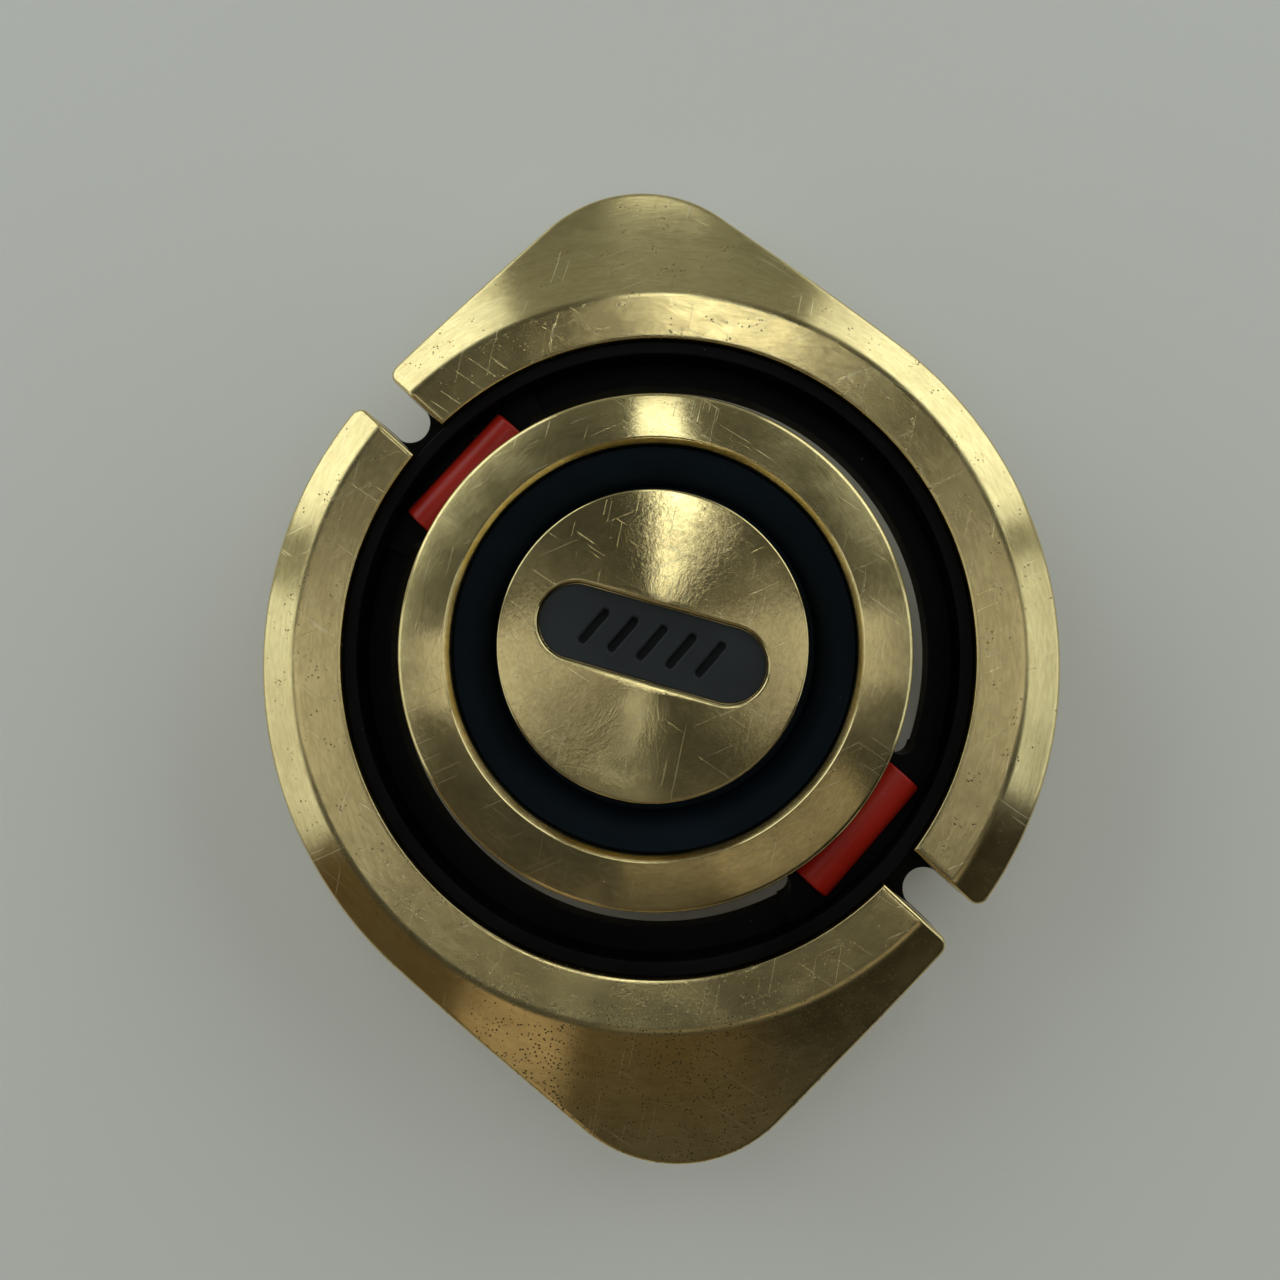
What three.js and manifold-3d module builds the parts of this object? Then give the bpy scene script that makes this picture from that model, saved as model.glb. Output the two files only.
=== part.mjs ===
// Brass hand spinner with split wings. Millimetres, +Z up along the spin axis.
// The origin is the centre of the rear button's face, so the spinner rests on z = 0.
// The wing tips lie along Y. Front is +Z. Every rear piece mirrors its front piece.
import * as THREE from 'three';
import { mergeVertices } from 'three/addons/utils/BufferGeometryUtils.js';
import Module from 'manifold-3d';

const wasm = await Module();
wasm.setup();

// Wings, in plan
const wingRadius = 20;
const tipReach = 24.6;
const tipRound = 7;
const gapWidth = 2.1;
const gapAngle = 135;
const ridgeSetback = 2.3;

// Wings, in height above the middle plane
const innerEdgeHeight = 3.2;
const ridgeHeight = 3.4;
const tipHeight = 1.55;
const scoopPower = 1.6;
const edgeChamfer = 0.15;

// Spinner frame
const plateHalf = 0.8;
const plateInset = 0.6;
const notchSetback = 1;
const rimWall = 0.65;
const rimDrop = 0.3;
const slotOuter = 13.9;
const slotInner = 10.3;
const slotCorner = 0.7;
const spokeHalfAngle = 18;
const spokeHalf = 1.3;
const flangeRadius = 11.4;
const flangeThickness = 0.8;

// Red rods, lying across the spokes
const rodDiameter = 2.4;
const rodLength = 7;
const rodWeb = 0.3;
const rodFlangeGap = 0.6;
const rodRimGap = 0.23;
const rodTopGap = 0.3;

// Brass hub rings
const hubRingOuter = 12.5;
const hubRingInner = 9.85;
const hubRingHeight = 2.2;
const hubRingSlope = 0.45;
const hubRingChamfer = 0.28;

// Bearing, inch size 1/4 by 1/2
const bearingBore = 6.35;
const bearingOuter = 12.7;
const bearingWidth = 4.762;
const ballDiameter = 1.588;
const ballCount = 10;
const raceDepth = 0.68;
const cageWall = 0.6;
const cageLip = 0.45;
const shieldThickness = 0.2;
const shieldInset = 0.25;
const shieldStep = 0.35;

// Buttons and what joins them
const buttonRadius = 7.45;
const buttonProud = 0.4;
const buttonThickness = 1.85;
const buttonEdge = 0.12;
const washerThickness = 0.2;
const washerWall = 0.75;
const studDiameter = 3;
const studCover = 0.85;
const studSocket = 1.5;
const studSocketDepth = 1.2;

// Inlay in each button
const inlayLength = 11.3;
const inlayWidth = 3.7;
const inlayAngle = -19;
const inlayPocket = 0.65;
const inlayThickness = 0.45;
const gripCount = 5;
const gripPitch = 1.45;
const gripWidth = 0.42;
const gripLength = 2.1;
const gripDepth = 0.2;
const gripSlant = 25;

// Lock rings, the dark dish round each button
const lockNoseWall = 0.55;
const dishDrop = 0.6;
const dishLand = 0.45;

// Wing screws, put in from the rear
const screwAngles = [123, 45, -33];
const screwSetback = 0.15;
const screwShank = 1.6;
const screwHead = 2.6;
const screwHeadThickness = 0.7;
const screwHeadDrop = 0.35;
const screwCover = 0.5;
const screwSlotWidth = 0.45;
const screwSlotDepth = 0.3;

// Clearances
const runClear = 0.1;
const fitClear = 0.05;
const buttonClear = 0.3;
const ballClear = 0.08;
const stemGap = 0.05;

// Smoothness: sides of a full circle, or of one arc in an outline
const roundSides = 40;
const bearingSides = 24;
const holeSides = 12;
const pocketSides = 8;
const ballSides = 8;
const outlineSides = 10;
const grooveSteps = 4;
const dishSteps = 3;
const scoopSteps = 5;

// How far a cutter stands out past what it cuts
const overCut = 1;

// Sizes that follow from those above
const degree = Math.PI / 180;
const gapTurn = gapAngle * degree;
const boreRadius = bearingBore / 2;
const bearingHalf = bearingWidth / 2;
const bearingRadius = bearingOuter / 2;
const pitchRadius = (boreRadius + bearingRadius) / 2;
const ballRadius = ballDiameter / 2;
const innerRaceRadius = pitchRadius - raceDepth * ballRadius;
const outerRaceRadius = pitchRadius + raceDepth * ballRadius;
const shieldHeight = bearingHalf - shieldInset - shieldThickness;
const rodHeight = rodWeb + rodDiameter / 2;
const rodRadius = flangeRadius + rodFlangeGap + rodDiameter / 2;
const hubHalf = rodHeight + rodDiameter / 2 + rodTopGap;
const flangeLow = hubHalf - flangeThickness;
const hubRingTop = hubHalf + hubRingHeight;
const buttonHalf = hubRingTop + buttonProud;
const buttonUnder = buttonHalf - buttonThickness;
const inlayFloor = buttonHalf - inlayPocket;
const studHalf = inlayFloor - studCover;
const dishRim = hubRingTop - dishDrop;
const dishFloor = buttonUnder - buttonClear;
const rimInner = Math.hypot(rodRadius + rodDiameter / 2, rodLength / 2) + rodRimGap;
const rimOuter = rimInner + rimWall;
const rimHeight = innerEdgeHeight - rimDrop;
const wingInner = rimOuter + runClear;
const ridgeRadius = wingInner + ridgeSetback;
const notchInner = wingInner + notchSetback;
const screwRadius = ridgeRadius - screwSetback;
const screwHeadHeight = scoopHeight(screwRadius + screwHead / 2 + runClear) - screwHeadDrop;
const screwSeat = screwHeadHeight - screwHeadThickness;
const screwReach = screwHeadHeight - screwCover;

// ---- Helpers ----

// A closed geometry as a solid that can be joined and cut.
function solidOf(geometry) {
  const bare = geometry.clone();
  bare.deleteAttribute('normal');
  bare.deleteAttribute('uv');
  const merged = mergeVertices(bare, 1e-5);
  const index = merged.index.array;
  const kept = [];
  for (let i = 0; i < index.length; i += 3) {
    const [a, b, c] = [index[i], index[i + 1], index[i + 2]];
    if (a !== b && b !== c && c !== a) kept.push(a, b, c);
  }
  const mesh = new wasm.Mesh({
    numProp: 3,
    vertProperties: new Float32Array(merged.attributes.position.array),
    triVerts: new Uint32Array(kept),
  });
  return new wasm.Manifold(mesh);
}

function geometryOf(solid) {
  const mesh = solid.getMesh();
  const geometry = new THREE.BufferGeometry();
  geometry.setAttribute('position', new THREE.BufferAttribute(new Float32Array(mesh.vertProperties), 3));
  geometry.setIndex(new THREE.BufferAttribute(new Uint32Array(mesh.triVerts), 1));
  geometry.computeVertexNormals();
  return geometry;
}

// Turns a closed outline of [radius, height] points about Z.
function turned(points, sides = roundSides) {
  const profile = points.map(([radius, height]) => new THREE.Vector2(radius, height));
  profile.push(profile[0].clone());
  return new THREE.LatheGeometry(profile, sides).rotateX(Math.PI / 2);
}

// A flat-ended ring or disc between two heights.
function ringBetween(inner, outer, low, high, sides = roundSides) {
  return turned([[inner, low], [outer, low], [outer, high], [inner, high]], sides);
}

function extruded(shape, low, high, sides = 8) {
  const options = { depth: high - low, bevelEnabled: false, curveSegments: sides };
  return new THREE.ExtrudeGeometry(shape, options).translate(0, 0, low);
}

function boxBetween(x0, x1, y0, y1, z0, z1) {
  const box = new THREE.BoxGeometry(x1 - x0, y1 - y0, z1 - z0);
  return box.translate((x0 + x1) / 2, (y0 + y1) / 2, (z0 + z1) / 2);
}

// The same piece for the rear: mirrored in the middle plane, with its faces turned back outwards.
function mirrored(geometry) {
  const copy = geometry.clone().scale(1, 1, -1);
  const source = copy.index ? copy : mergeVertices(copy);
  const index = source.index.array;
  for (let i = 0; i < index.length; i += 3) {
    [index[i + 1], index[i + 2]] = [index[i + 2], index[i + 1]];
  }
  source.computeVertexNormals();
  return source;
}

// The lemon outline: a circle with two rounded tips, their flanks tangent to both curves.
function lemonShape(inset) {
  const round = wingRadius - inset;
  const tip = tipRound - inset;
  const tipCentre = tipReach - tipRound;
  const flank = Math.acos((round - tip) / tipCentre);
  const up = Math.PI / 2;
  const shape = new THREE.Shape();
  shape.absarc(0, 0, round, flank - up, up - flank, false);
  shape.absarc(0, tipCentre, tip, up - flank, up + flank, false);
  shape.absarc(0, 0, round, up + flank, 3 * up - flank, false);
  shape.absarc(0, -tipCentre, tip, 3 * up - flank, 3 * up + flank, false);
  return shape;
}

// A strip with round ends, centred on the origin and lying along X.
function stadiumShape(length, width) {
  const half = length / 2 - width / 2;
  const shape = new THREE.Shape();
  shape.absarc(half, 0, width / 2, -Math.PI / 2, Math.PI / 2, false);
  shape.absarc(-half, 0, width / 2, Math.PI / 2, 1.5 * Math.PI, false);
  return shape;
}

// ---- Spinner frame ----

// An arc slot between two angles, as a shape in plan. Its outer corners are rounded.
function arcSlotShape(from, to) {
  const centre = slotOuter - slotCorner;
  const first = from + Math.asin(slotCorner / centre);
  const last = to - Math.asin(slotCorner / centre);
  const up = Math.PI / 2;
  const shape = new THREE.Shape();
  shape.absarc(centre * Math.cos(first), centre * Math.sin(first), slotCorner, from - up, first, false);
  shape.absarc(0, 0, slotOuter, first, last, false);
  shape.absarc(centre * Math.cos(last), centre * Math.sin(last), slotCorner, last, to + up, false);
  shape.absarc(0, 0, slotInner, to, from, true);
  return shape;
}

function rodPocket() {
  const half = rodDiameter / 2 + runClear;
  const long = rodLength / 2 + runClear;
  const floor = rodHeight - rodDiameter / 2 - runClear;
  return boxBetween(rodRadius - half, rodRadius + half, -long, long, floor, hubHalf);
}

function spinnerFrame() {
  const hubBore = bearingRadius + fitClear;
  let solid = solidOf(extruded(lemonShape(plateInset), -plateHalf, plateHalf, outlineSides));
  solid = solid.add(solidOf(ringBetween(rimInner, rimOuter, -rimHeight, rimHeight)));
  for (const turn of [gapTurn, gapTurn + Math.PI]) {
    const spoke = new THREE.Shape();
    const half = spokeHalfAngle * degree;
    spoke.absarc(0, 0, rimInner + rimWall / 2, turn - half, turn + half, false);
    spoke.absarc(0, 0, slotInner - overCut, turn + half, turn - half, true);
    solid = solid.add(solidOf(extruded(spoke, -spokeHalf, spokeHalf)));
    const slot = arcSlotShape(turn + half, turn + Math.PI - half);
    const opening = extruded(slot, -spokeHalf - overCut, spokeHalf + overCut, 2 * outlineSides);
    solid = solid.subtract(solidOf(opening));
  }
  const hub = turned([
    [hubBore - overCut, -hubHalf], [flangeRadius, -hubHalf], [flangeRadius, -flangeLow],
    [slotInner, -flangeLow], [slotInner, flangeLow],
    [flangeRadius, flangeLow], [flangeRadius, hubHalf], [hubBore - overCut, hubHalf],
  ]);
  solid = solid.add(solidOf(hub));
  solid = solid.subtract(solidOf(ringBetween(0, hubBore, -hubHalf - overCut, hubHalf + overCut)));
  for (const turn of [gapTurn, gapTurn + Math.PI]) {
    solid = solid.subtract(solidOf(notchCutter().rotateZ(turn)));
    const pocket = rodPocket().rotateZ(turn);
    solid = solid.subtract(solidOf(pocket));
    solid = solid.subtract(solidOf(mirrored(pocket)));
  }
  const holeHalf = plateHalf + overCut;
  for (const [x, y] of screwPlaces()) {
    const hole = ringBetween(0, screwShank / 2 + fitClear, -holeHalf, holeHalf, holeSides);
    solid = solid.subtract(solidOf(hole.translate(x, y, 0)));
  }
  return geometryOf(solid);
}

// The U notch in the frame, as wide as the gap between the wings, cut along +X.
function notchCutter() {
  const half = gapWidth / 2;
  const shape = new THREE.Shape();
  shape.absarc(notchInner + half, 0, half, Math.PI / 2, 1.5 * Math.PI, false);
  shape.lineTo(tipReach, -half);
  shape.lineTo(tipReach, half);
  return extruded(shape, -rimHeight - overCut, rimHeight + overCut);
}

// ---- Wings ----

// Height of the wings' outer face at a radius: steepest at the ridge, level at the tip's end.
function scoopHeight(radius) {
  const left = (tipReach - radius) / (tipReach - ridgeRadius);
  return tipHeight + (ridgeHeight - tipHeight) * left ** scoopPower;
}

// The turned section of both front wings: a shallow rise to the ridge, then the scoop down to the tips.
function wingSection() {
  const outer = tipReach + overCut;
  const points = [[wingInner, plateHalf], [outer, plateHalf], [outer, tipHeight]];
  for (let i = 0; i <= scoopSteps; i += 1) {
    const radius = tipReach - (i / scoopSteps) * (tipReach - ridgeRadius);
    points.push([radius, scoopHeight(radius)]);
  }
  points.push([wingInner + edgeChamfer, innerEdgeHeight], [wingInner, innerEdgeHeight - edgeChamfer]);
  return points;
}

// One half of the turned blank: turn 0 keeps the half with the +Y tip, a half turn the other.
function wingHalf(turn) {
  const reach = tipReach + overCut;
  const top = ridgeHeight + overCut;
  let solid = solidOf(turned(wingSection()));
  solid = solid.intersect(solidOf(extruded(lemonShape(0), 0, top, outlineSides)));
  const keep = boxBetween(-reach, reach, -reach, -gapWidth / 2, 0, top).rotateZ(gapTurn + turn);
  return solid.intersect(solidOf(keep));
}

function screwPlaces() {
  const places = [];
  for (const turn of [0, 180]) {
    for (const angle of screwAngles) {
      const a = (angle + turn) * degree;
      places.push([screwRadius * Math.cos(a), screwRadius * Math.sin(a)]);
    }
  }
  return places;
}

function frontWing(turn) {
  let solid = wingHalf(turn);
  for (const [x, y] of screwPlaces()) {
    const depth = screwReach + runClear;
    const hole = ringBetween(0, screwShank / 2 + fitClear, plateHalf - overCut, depth, holeSides);
    solid = solid.subtract(solidOf(hole.translate(x, y, 0)));
  }
  return geometryOf(solid);
}

function rearWing(turn) {
  let solid = wingHalf(turn);
  for (const [x, y] of screwPlaces()) {
    const shank = ringBetween(0, screwShank / 2 + fitClear, 0, ridgeHeight + overCut, holeSides);
    const head = ringBetween(0, screwHead / 2 + runClear, screwSeat, ridgeHeight + overCut, holeSides);
    solid = solid.subtract(solidOf(shank.translate(x, y, 0)));
    solid = solid.subtract(solidOf(head.translate(x, y, 0)));
  }
  return mirrored(geometryOf(solid));
}

// ---- Hub pieces ----

function hubRing() {
  const c = hubRingChamfer;
  return turned([
    [hubRingInner, hubHalf], [hubRingOuter - c, hubHalf], [hubRingOuter, hubHalf + c],
    [hubRingOuter, hubRingTop - hubRingSlope - c], [hubRingOuter - c, hubRingTop - hubRingSlope],
    [hubRingInner + c, hubRingTop], [hubRingInner, hubRingTop - c],
  ]);
}

// The dish: its nose reaches down the hub bore and holds the bearing's outer race.
function lockRing() {
  const rim = hubRingInner - fitClear;
  const nose = bearingRadius;
  const inner = nose - lockNoseWall;
  const floorRadius = buttonRadius + dishLand;
  const points = [
    [inner, bearingHalf], [nose, bearingHalf], [nose, hubHalf], [rim, hubHalf], [rim, dishRim],
  ];
  for (let i = 1; i <= dishSteps; i += 1) {
    const a = (i / dishSteps) * (Math.PI / 2);
    const r = floorRadius + (rim - floorRadius) * (1 - Math.sin(a));
    points.push([r, dishRim - (dishRim - dishFloor) * (1 - Math.cos(a))]);
  }
  points.push([inner, dishFloor]);
  return turned(points);
}

// A cylinder with small end chamfers, lying along its own Y.
function rod() {
  const r = rodDiameter / 2;
  const half = rodLength / 2;
  const c = edgeChamfer;
  const section = [[0, -half], [r - c, -half], [r, c - half], [r, half - c], [r - c, half], [0, half]];
  return turned(section, holeSides).rotateX(Math.PI / 2);
}

// ---- Bearing ----

// Points of a ball groove, from low to high. Way 1 cuts into the outer race, way -1 into the inner race.
function grooveArc(way) {
  const r = ballRadius + ballClear;
  const half = Math.acos((raceDepth * ballRadius) / r);
  const points = [];
  for (let i = 0; i <= grooveSteps; i += 1) {
    const a = half * ((2 * i) / grooveSteps - 1);
    points.push([pitchRadius + way * r * Math.cos(a), r * Math.sin(a)]);
  }
  return points;
}

function innerRace() {
  return turned([
    [boreRadius, -bearingHalf], [innerRaceRadius, -bearingHalf],
    ...grooveArc(-1),
    [innerRaceRadius, bearingHalf], [boreRadius, bearingHalf],
  ], bearingSides);
}

function outerRace() {
  const seat = outerRaceRadius + shieldStep;
  return turned([
    [seat, -bearingHalf], [bearingRadius, -bearingHalf], [bearingRadius, bearingHalf],
    [seat, bearingHalf], [seat, shieldHeight], [outerRaceRadius, shieldHeight],
    ...grooveArc(1).reverse(),
    [outerRaceRadius, -shieldHeight], [seat, -shieldHeight],
  ], bearingSides);
}

function bearingShield() {
  const outer = outerRaceRadius + shieldStep - fitClear;
  const high = shieldHeight + shieldThickness;
  return ringBetween(innerRaceRadius + runClear, outer, shieldHeight, high, bearingSides);
}

function ball() {
  return new THREE.SphereGeometry(ballRadius, ballSides, ballSides - 2).rotateX(Math.PI / 2);
}

function ballCage() {
  const inner = pitchRadius - cageWall / 2;
  const outer = pitchRadius + cageWall / 2;
  const hole = ballRadius + 2 * ballClear;
  const half = ballRadius + cageLip;
  let solid = solidOf(ringBetween(inner, outer, -half, half, bearingSides));
  for (let i = 0; i < ballCount; i += 1) {
    const pocket = new THREE.CylinderGeometry(hole, hole, 2, pocketSides);
    pocket.rotateZ(Math.PI / 2).translate(pitchRadius, 0, 0).rotateZ((i / ballCount) * 2 * Math.PI);
    solid = solid.subtract(solidOf(pocket));
  }
  return geometryOf(solid);
}

// ---- Buttons ----

function button() {
  const stem = boreRadius - fitClear;
  const shoulder = boreRadius + washerWall;
  const seat = bearingHalf + washerThickness;
  const e = buttonEdge;
  const blank = turned([
    [0, stemGap], [stem, stemGap], [stem, seat], [shoulder, seat], [shoulder, buttonUnder],
    [buttonRadius - e, buttonUnder], [buttonRadius, buttonUnder + e],
    [buttonRadius, buttonHalf - e], [buttonRadius - e, buttonHalf], [0, buttonHalf],
  ]);
  const pocket = extruded(stadiumShape(inlayLength, inlayWidth), inlayFloor, buttonHalf + overCut);
  const hole = ringBetween(0, studDiameter / 2 + fitClear, -overCut, studHalf + runClear, holeSides);
  let solid = solidOf(blank);
  solid = solid.subtract(solidOf(pocket.rotateZ(inlayAngle * degree)));
  solid = solid.subtract(solidOf(hole));
  return geometryOf(solid);
}

// A flush plate with short slanted grooves for grip.
function inlay() {
  const top = inlayFloor + inlayThickness;
  const shape = stadiumShape(inlayLength - 2 * fitClear, inlayWidth - 2 * fitClear);
  let solid = solidOf(extruded(shape, inlayFloor, top));
  for (let i = 0; i < gripCount; i += 1) {
    const x = (i - (gripCount - 1) / 2) * gripPitch;
    const groove = extruded(stadiumShape(gripLength, gripWidth), top - gripDepth, top + overCut, 3);
    solid = solid.subtract(solidOf(groove.rotateZ((90 - gripSlant) * degree).translate(x, 0, 0)));
  }
  return geometryOf(solid).rotateZ(inlayAngle * degree);
}

function washer() {
  const top = bearingHalf + washerThickness;
  return ringBetween(boreRadius, boreRadius + washerWall, bearingHalf, top, bearingSides);
}

// A set screw with a hexagon socket in its front end.
function axleStud() {
  const blank = ringBetween(0, studDiameter / 2, -studHalf, studHalf, holeSides);
  const socket = new THREE.CylinderGeometry(studSocket / 2, studSocket / 2, studSocketDepth * 2, 6);
  socket.rotateX(Math.PI / 2).translate(0, 0, studHalf);
  return geometryOf(solidOf(blank).subtract(solidOf(socket)));
}

// A slotted screw, its head down in the rear wing and its end up in the front wing.
function wingScrew() {
  const head = screwHead / 2;
  const shank = screwShank / 2;
  const blank = turned([
    [0, -screwHeadHeight], [head, -screwHeadHeight], [head, -screwSeat], [shank, -screwSeat],
    [shank, screwReach], [0, screwReach],
  ], holeSides);
  const half = screwSlotWidth / 2;
  const reach = head + overCut;
  const low = -screwHeadHeight - overCut;
  const slot = boxBetween(-reach, reach, -half, half, low, screwSlotDepth - screwHeadHeight);
  return geometryOf(solidOf(blank).subtract(solidOf(slot)));
}

// ---- Assembly ----

function material(color, roughness, metalness) {
  return new THREE.MeshStandardMaterial({ color, roughness, metalness });
}

const looks = {
  brass: () => material(0xb9a468, 0.3, 1),
  black: () => material(0x0d0e10, 0.45, 0.4),
  dish: () => material(0x14181f, 0.5, 0.4),
  inlay: () => material(0x121417, 0.6, 0),
  red: () => material(0xa51f12, 0.35, 0),
  steel: () => material(0xb8babc, 0.25, 1),
  cage: () => material(0x9a8c5e, 0.5, 0.8),
};

const spinner = new THREE.Group();
spinner.position.z = buttonHalf;

function place(name, geometry, look, x = 0, y = 0, z = 0, turn = 0) {
  const mesh = new THREE.Mesh(geometry, looks[look]());
  mesh.name = name;
  mesh.position.set(x, y, z);
  mesh.rotation.z = turn;
  spinner.add(mesh);
}

// A piece and its mirror image on the rear.
function placePair(name, geometry, look) {
  place(`front_${name}`, geometry, look);
  place(`rear_${name}`, mirrored(geometry), look);
}

place('spinner_frame', spinnerFrame(), 'black');
place('front_wing_a', frontWing(0), 'brass');
place('front_wing_b', frontWing(Math.PI), 'brass');
place('rear_wing_a', rearWing(0), 'brass');
place('rear_wing_b', rearWing(Math.PI), 'brass');

placePair('hub_ring', hubRing(), 'brass');
placePair('lock_ring', lockRing(), 'dish');
placePair('button', button(), 'brass');
placePair('inlay', inlay(), 'inlay');
placePair('washer', washer(), 'steel');
placePair('shield', bearingShield(), 'steel');
place('axle_stud', axleStud(), 'steel');

for (const [side, height] of [['front', rodHeight], ['rear', -rodHeight]]) {
  for (const [letter, turn] of [['a', gapTurn], ['b', gapTurn + Math.PI]]) {
    const x = rodRadius * Math.cos(turn);
    const y = rodRadius * Math.sin(turn);
    place(`${side}_rod_${letter}`, rod(), 'red', x, y, height, turn);
  }
}

screwPlaces().forEach(([x, y], i) => {
  place(`wing_screw_${i + 1}`, wingScrew(), 'steel', x, y, 0, Math.atan2(y, x));
});

place('bearing_inner_race', innerRace(), 'steel');
place('bearing_outer_race', outerRace(), 'steel');
place('ball_cage', ballCage(), 'cage');
for (let i = 0; i < ballCount; i += 1) {
  const a = (i / ballCount) * 2 * Math.PI;
  const name = `bearing_ball_${String(i + 1).padStart(2, '0')}`;
  place(name, ball(), 'steel', pitchRadius * Math.cos(a), pitchRadius * Math.sin(a), 0, a);
}

export default spinner;
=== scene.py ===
import math

import bmesh
import bpy
from mathutils import Euler, Matrix, Vector


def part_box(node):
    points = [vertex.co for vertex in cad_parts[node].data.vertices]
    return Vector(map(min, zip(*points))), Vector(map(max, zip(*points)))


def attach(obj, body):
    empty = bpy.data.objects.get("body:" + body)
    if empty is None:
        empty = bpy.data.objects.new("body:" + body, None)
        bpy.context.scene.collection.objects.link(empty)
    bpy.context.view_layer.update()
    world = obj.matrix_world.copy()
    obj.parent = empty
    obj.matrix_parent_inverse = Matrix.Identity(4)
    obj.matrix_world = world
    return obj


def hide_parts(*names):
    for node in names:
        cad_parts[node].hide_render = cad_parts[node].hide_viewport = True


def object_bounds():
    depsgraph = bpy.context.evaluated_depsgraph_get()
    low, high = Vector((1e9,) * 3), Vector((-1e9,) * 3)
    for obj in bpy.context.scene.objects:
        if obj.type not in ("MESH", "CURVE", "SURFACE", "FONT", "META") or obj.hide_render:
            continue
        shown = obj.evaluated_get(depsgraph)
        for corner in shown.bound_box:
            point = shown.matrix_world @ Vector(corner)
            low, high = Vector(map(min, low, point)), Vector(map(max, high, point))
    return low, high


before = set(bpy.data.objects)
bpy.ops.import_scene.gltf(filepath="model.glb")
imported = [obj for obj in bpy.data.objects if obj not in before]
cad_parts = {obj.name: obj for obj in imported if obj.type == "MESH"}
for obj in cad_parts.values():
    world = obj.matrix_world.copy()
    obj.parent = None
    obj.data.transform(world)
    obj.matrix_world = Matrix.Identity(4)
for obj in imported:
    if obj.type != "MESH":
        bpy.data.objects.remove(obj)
cadLow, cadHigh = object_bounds()
mm = 0.001
tau = 2 * math.pi


def spanOf(node):  # radii from the spin axis, and heights, in mm
    points = [v.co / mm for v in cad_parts[node].data.vertices]
    radii = [math.hypot(p.x, p.y) for p in points]
    heights = [p.z for p in points]
    return {"inner": min(radii), "outer": max(radii), "low": min(heights), "high": max(heights)}


middle = (cadLow.z + cadHigh.z) / 2 / mm  # height of the middle plane
reach = cadHigh.y / mm  # spin axis to the end of a tip
width = cadHigh.x / mm  # radius of the round sides
wingSpan = spanOf("front_wing_a")
ringSpan = spanOf("front_hub_ring")
dishSpan = spanOf("front_lock_ring")
buttonSpan = spanOf("front_button")
raceSpan = spanOf("bearing_outer_race")
print("sizes read from the frame")


# camera and stage

cameraPlace = {
    "tilt": (-9.1, -2.79, 2.98),  # degrees about X, Y and Z, from straight above
    "slide": (0.11, -7.44),
    "distance": 59.1,
    "lens": 31.7,
    "shift": (-0.0117, -0.1055),
}


def makeCamera():
    data = bpy.data.cameras.new("camera")
    data.lens = cameraPlace["lens"]
    data.sensor_width = 36
    data.shift_x, data.shift_y = cameraPlace["shift"]
    data.clip_start = 0.001
    data.clip_end = 20
    camera = bpy.data.objects.new("camera", data)
    bpy.context.scene.collection.objects.link(camera)
    a, b, c = [math.radians(v) for v in cameraPlace["tilt"]]
    turn = Matrix.Rotation(a, 3, "X") @ Matrix.Rotation(b, 3, "Y") @ Matrix.Rotation(c, 3, "Z")
    slideX, slideY = cameraPlace["slide"]
    place = turn.transposed() @ Vector((-slideX, -slideY, cameraPlace["distance"]))
    place.z += middle
    camera.matrix_world = Matrix.Translation(place * mm) @ turn.transposed().to_4x4()
    bpy.context.scene.camera = camera


makeCamera()


# small helpers for node trees

def addNode(tree, kind, **settings):
    node = tree.nodes.new(kind)
    for name, value in settings.items():
        setattr(node, name, value)
    return node


def setInputs(node, **values):
    for name, value in values.items():
        node.inputs[name.replace("_", " ")].default_value = value
    return node


def mathNode(tree, operation, first, second=None, clamp=False):
    node = addNode(tree, "ShaderNodeMath", operation=operation, use_clamp=clamp)
    for socket, value in zip(node.inputs, (first, second)):
        if value is None:
            continue
        if isinstance(value, (int, float)):
            socket.default_value = value
        else:
            tree.links.new(value, socket)
    return node.outputs[0]


def mapRange(tree, value, low, high, newLow=0.0, newHigh=1.0, smooth=True):
    node = addNode(tree, "ShaderNodeMapRange")
    node.interpolation_type = "SMOOTHSTEP" if smooth else "LINEAR"
    node.inputs["From Min"].default_value = low
    node.inputs["From Max"].default_value = high
    node.inputs["To Min"].default_value = newLow
    node.inputs["To Max"].default_value = newHigh
    tree.links.new(value, node.inputs["Value"])
    return node.outputs["Result"]


def noiseNode(tree, vector, scale, detail=3.0, roughness=0.55):
    node = addNode(tree, "ShaderNodeTexNoise")
    setInputs(node, Scale=scale, Detail=detail, Roughness=roughness)
    tree.links.new(vector, node.inputs["Vector"])
    return node.outputs["Fac"]


def mixColor(tree, factor, first, second, blend="MIX"):
    node = addNode(tree, "ShaderNodeMix", data_type="RGBA", blend_type=blend)
    for socket, value in ((node.inputs[0], factor), (node.inputs[6], first), (node.inputs[7], second)):
        if isinstance(value, (int, float)):
            socket.default_value = value
        elif isinstance(value, tuple):
            socket.default_value = (*value, 1.0)
        else:
            tree.links.new(value, socket)
    return node.outputs[2]


def newGroup(name, inputs, outputs):
    group = bpy.data.node_groups.new(name, "ShaderNodeTree")
    for title, kind, value in inputs:
        socket = group.interface.new_socket(name=title, in_out="INPUT", socket_type=kind)
        if value is not None:
            socket.default_value = value
    for title, kind in outputs:
        group.interface.new_socket(name=title, in_out="OUTPUT", socket_type=kind)
    return group, addNode(group, "NodeGroupInput"), addNode(group, "NodeGroupOutput")


floatKind = "NodeSocketFloat"
vectorKind = "NodeSocketVector"


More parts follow.
